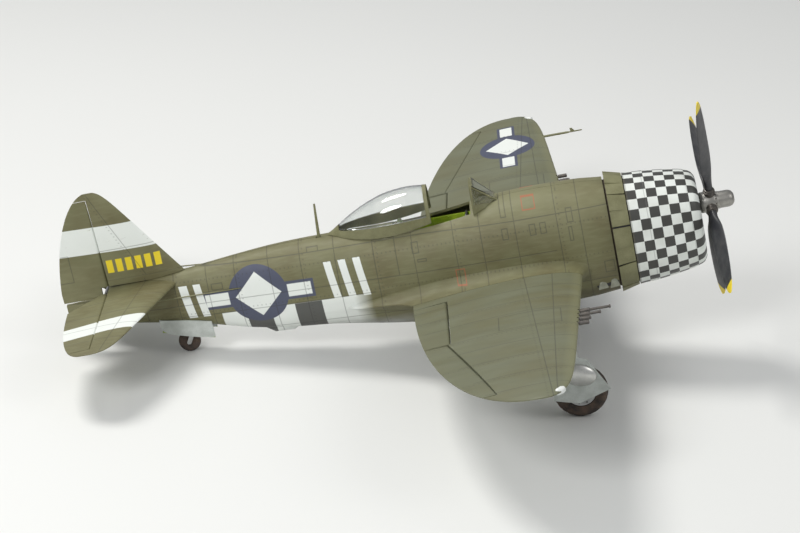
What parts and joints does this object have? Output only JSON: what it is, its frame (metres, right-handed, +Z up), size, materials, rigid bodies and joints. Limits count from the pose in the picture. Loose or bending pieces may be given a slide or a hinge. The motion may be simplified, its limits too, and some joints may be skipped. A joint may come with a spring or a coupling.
{
  "type": "radio control warbird plane",
  "caption": "Micro electric scale warbird with a checkered radial cowl, sliding bubble canopy, working control surfaces, turning propeller and free-rolling wheels.",
  "frame": {"origin": "centre of the footprint, on the plane that the three wheels stand on", "axes": "+X towards the nose, +Y to port along the wing span, +Z up; the aeroplane stands nose-up by 11.6 degrees on its wheels"},
  "size_m": [0.3436, 0.3884, 0.1463],
  "materials": {
    "olive_paint": "flat olive drab paint over moulded plastic, brushed and mottled",
    "wing_paint": "flat grey-olive paint with chordwise streaks",
    "checker_paint": "satin black and white checks",
    "plywood": "bare birch ply",
    "motor_iron": "dark satin metal",
    "polished_metal": "polished",
    "steel": "bright drawn wire",
    "blade_black": "satin near-black with yellow tips",
    "battery_wrap": "shrink wrap",
    "circuit_board": "solder mask",
    "servo_plastic": "moulded",
    "nylon": "moulded nylon",
    "carbon": "carbon fibre bar",
    "chromate": "flat yellow-green primer",
    "seat_paint": "flat dull green",
    "clear": "clear moulded plastic",
    "armour_white": "satin off-white",
    "silver_paint": "satin silver",
    "door_paint": "flat pale grey",
    "tyre": "dusty dark rubber"
  },
  "bodies": {
    "airframe": {"fuselage_left_shell": "olive_paint", "fuselage_right_shell": "olive_paint", "battery_hatch": "olive_paint", "cowl_ring": "checker_paint", "cowl_flaps": "olive_paint", "firewall": "plywood", "motor_stator": "motor_iron", "dummy_engine": "motor_iron", "battery": "battery_wrap", "receiver_board": "circuit_board", "rudder_servo": "servo_plastic", "elevator_servo": "servo_plastic", "wing_joiner": "carbon", "wing_left": "wing_paint", "aileron_servo_left": "servo_plastic", "gun_set_left": "motor_iron", "wing_right": "wing_paint", "aileron_servo_right": "servo_plastic", "gun_set_right": "motor_iron", "pitot_tube": "wing_paint", "tailplane": "wing_paint", "fin": "olive_paint", "cockpit_tub": "chromate", "pilot_seat": "seat_paint", "windscreen_frame": "armour_white", "windscreen_glass": "clear", "antenna_mast": "olive_paint", "main_leg_left": "silver_paint", "gear_door_left": "door_paint", "main_leg_right": "silver_paint", "gear_door_right": "door_paint"},
    "propeller": {"prop_shaft": "steel", "motor_bell": "polished_metal", "prop_hub": "polished_metal", "blade_1": "blade_black", "blade_2": "blade_black", "blade_3": "blade_black", "blade_4": "blade_black"},
    "main_wheel_left": {"main_hub_left": "silver_paint", "main_tyre_left": "tyre"},
    "main_wheel_right": {"main_hub_right": "silver_paint", "main_tyre_right": "tyre"},
    "tail_fork": {"tail_leg": "silver_paint"},
    "tail_roller": {"tail_wheel": "tyre"},
    "rudder": {"rudder": "olive_paint"},
    "elevators": {"elevator_left": "wing_paint", "elevator_right": "wing_paint", "elevator_joiner": "steel"},
    "canopy": {"canopy_frame": "olive_paint", "canopy_glass": "clear"},
    "aileron_left": {"aileron_left": "wing_paint"},
    "aileron_right": {"aileron_right": "wing_paint"},
    "flap_left": {"flap_left": "wing_paint"},
    "flap_right": {"flap_right": "wing_paint"},
    "rudder_arm": {"rudder_servo_arm": "nylon"},
    "elevator_arm": {"elevator_servo_arm": "nylon"},
    "rudder_pushrod": {"rudder_pushrod": "steel"},
    "elevator_pushrod": {"elevator_pushrod": "steel"},
    "aileron_arm_left": {"aileron_arm_left": "nylon"},
    "aileron_arm_right": {"aileron_arm_right": "nylon"}
  },
  "joints": [
    {"name": "propeller_spin", "type": "hinge", "parent": "airframe", "child": "propeller", "pos_m": [0.15688, 0, 0.08543], "axis": [0.9797, 0, 0.2006], "continuous": true},
    {"name": "main_wheel_left_spin", "type": "hinge", "parent": "airframe", "child": "main_wheel_left", "pos_m": [0.09188, 0.07312, 0.01343], "axis": [0, 1, 0], "continuous": true},
    {"name": "main_wheel_right_spin", "type": "hinge", "parent": "airframe", "child": "main_wheel_right", "pos_m": [0.09188, -0.07312, 0.01343], "axis": [0, 1, 0], "continuous": true},
    {"name": "tail_fork_steer", "type": "hinge", "parent": "airframe", "child": "tail_fork", "pos_m": [-0.10451, 0, 0.01914], "axis": [-0.2006, 0, 0.9797], "range_deg": [-20, 20]},
    {"name": "tail_wheel_spin", "type": "hinge", "parent": "tail_fork", "child": "tail_roller", "pos_m": [-0.10592, 0, 0.00577], "axis": [0, 1, 0], "continuous": true},
    {"name": "rudder_hinge", "type": "hinge", "parent": "airframe", "child": "rudder", "pos_m": [-0.15217, 0, 0.05403], "axis": [-0.2006, 0, 0.9797], "range_deg": [-25, 25]},
    {"name": "elevator_hinge", "type": "hinge", "parent": "airframe", "child": "elevators", "pos_m": [-0.14809, 0, 0.03254], "axis": [0, 1, 0], "range_deg": [-20, 20]},
    {"name": "aileron_left_hinge", "type": "hinge", "parent": "airframe", "child": "aileron_left", "pos_m": [0.03512, 0.14062, 0.0538], "axis": [0.2654, 0.955, 0.1323], "range_deg": [-18, 18]},
    {"name": "aileron_right_hinge", "type": "hinge", "parent": "airframe", "child": "aileron_right", "pos_m": [0.03512, -0.14062, 0.0538], "axis": [-0.2654, 0.955, -0.1323], "range_deg": [-18, 18]},
    {"name": "flap_left_hinge", "type": "hinge", "parent": "airframe", "child": "flap_left", "pos_m": [0.02549, 0.07187, 0.04621], "axis": [0.024, 0.996, 0.0863], "range_deg": [-40, 0]},
    {"name": "flap_right_hinge", "type": "hinge", "parent": "airframe", "child": "flap_right", "pos_m": [0.02549, -0.07187, 0.04621], "axis": [-0.024, 0.996, -0.0863], "range_deg": [-40, 0]},
    {"name": "canopy_slide", "type": "slide", "parent": "airframe", "child": "canopy", "axis": [0.9797, 0, 0.2006], "range_m": [0, 0.02096]},
    {"name": "rudder_arm_swing", "type": "hinge", "parent": "airframe", "child": "rudder_arm", "pos_m": [-0.02657, 0.00594, 0.04977], "axis": [-0.2006, 0, 0.9797], "range_deg": [-25, 25]},
    {"name": "elevator_arm_swing", "type": "hinge", "parent": "airframe", "child": "elevator_arm", "pos_m": [-0.02657, -0.00594, 0.04977], "axis": [-0.2006, 0, 0.9797], "range_deg": [-20, 20]},
    {"name": "rudder_pushrod_travel", "type": "slide", "parent": "airframe", "child": "rudder_pushrod", "axis": [-0.9934, -0.0423, -0.1063], "range_m": [-0.0024, 0.0024]},
    {"name": "elevator_pushrod_travel", "type": "slide", "parent": "airframe", "child": "elevator_pushrod", "axis": [-0.9816, 0.0155, -0.1905], "range_m": [-0.002, 0.002]},
    {"name": "aileron_arm_left_swing", "type": "hinge", "parent": "airframe", "child": "aileron_arm_left", "pos_m": [0.05203, 0.12969, 0.05535], "axis": [0, 1, 0], "range_deg": [-18, 18]},
    {"name": "aileron_arm_right_swing", "type": "hinge", "parent": "airframe", "child": "aileron_arm_right", "pos_m": [0.05203, -0.12969, 0.05535], "axis": [0, 1, 0], "range_deg": [-18, 18]}
  ],
  "couplings": [
    {"joint": "tail_fork_steer", "follows": "rudder_hinge", "ratio": 0.8},
    {"joint": "rudder_arm_swing", "follows": "rudder_hinge", "ratio": 1},
    {"joint": "rudder_pushrod_travel", "follows": "rudder_hinge", "m_per_rad": 0.0055004},
    {"joint": "elevator_arm_swing", "follows": "elevator_hinge", "ratio": -1},
    {"joint": "elevator_pushrod_travel", "follows": "elevator_hinge", "m_per_rad": 0.0057296},
    {"joint": "aileron_right_hinge", "follows": "aileron_left_hinge", "ratio": -1},
    {"joint": "aileron_arm_left_swing", "follows": "aileron_left_hinge", "ratio": 1},
    {"joint": "aileron_arm_right_swing", "follows": "aileron_left_hinge", "ratio": -1},
    {"joint": "flap_right_hinge", "follows": "flap_left_hinge", "ratio": 1}
  ]
}
